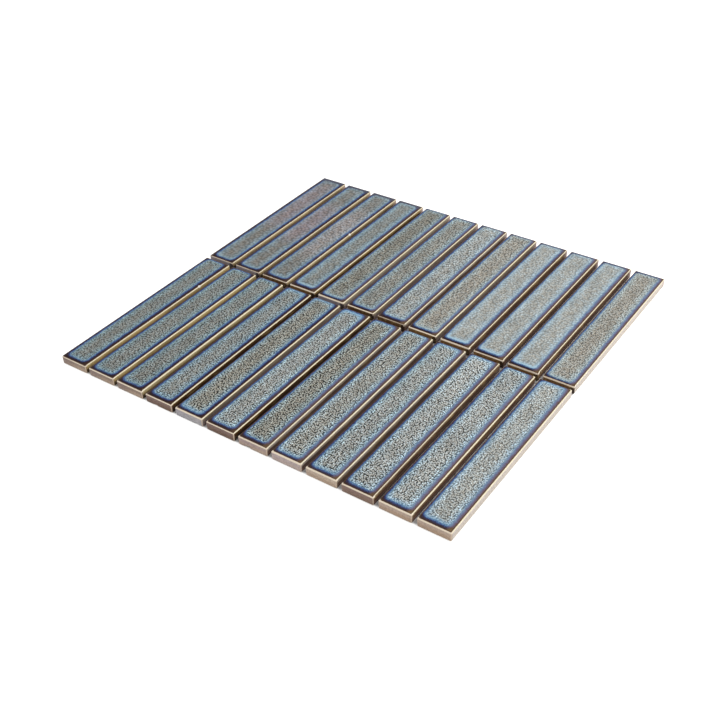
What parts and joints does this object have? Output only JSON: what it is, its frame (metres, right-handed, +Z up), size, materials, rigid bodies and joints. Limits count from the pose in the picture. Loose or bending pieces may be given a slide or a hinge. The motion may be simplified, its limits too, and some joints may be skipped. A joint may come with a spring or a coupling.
{
  "type": "mosaic tile sheet",
  "caption": "Flat sheet of long narrow glazed ceramic tiles in two rows, held at even joints by an open backing mesh.",
  "frame": {"origin": "middle of the sheet, on the underside of its backing mesh", "axes": "+X across the columns of tiles, +Y along the tiles from the front row to the back row, +Z up out of the glazed faces"},
  "size_m": [0.297, 0.293, 0.0065],
  "materials": {
    "glazed_tile": "gloss",
    "glass_mesh": "matte"
  },
  "bodies": {
    "root": {"tile_front_01": "glazed_tile", "tile_front_02": "glazed_tile", "tile_front_03": "glazed_tile", "tile_front_04": "glazed_tile", "tile_front_05": "glazed_tile", "tile_front_06": "glazed_tile", "tile_front_07": "glazed_tile", "tile_front_08": "glazed_tile", "tile_front_09": "glazed_tile", "tile_front_10": "glazed_tile", "tile_front_11": "glazed_tile", "tile_front_12": "glazed_tile", "tile_back_01": "glazed_tile", "tile_back_02": "glazed_tile", "tile_back_03": "glazed_tile", "tile_back_04": "glazed_tile", "tile_back_05": "glazed_tile", "tile_back_06": "glazed_tile", "tile_back_07": "glazed_tile", "tile_back_08": "glazed_tile", "tile_back_09": "glazed_tile", "tile_back_10": "glazed_tile", "tile_back_11": "glazed_tile", "tile_back_12": "glazed_tile", "backing_mesh_left": "glass_mesh", "backing_mesh_middle": "glass_mesh", "backing_mesh_right": "glass_mesh"}
  },
  "joints": []
}
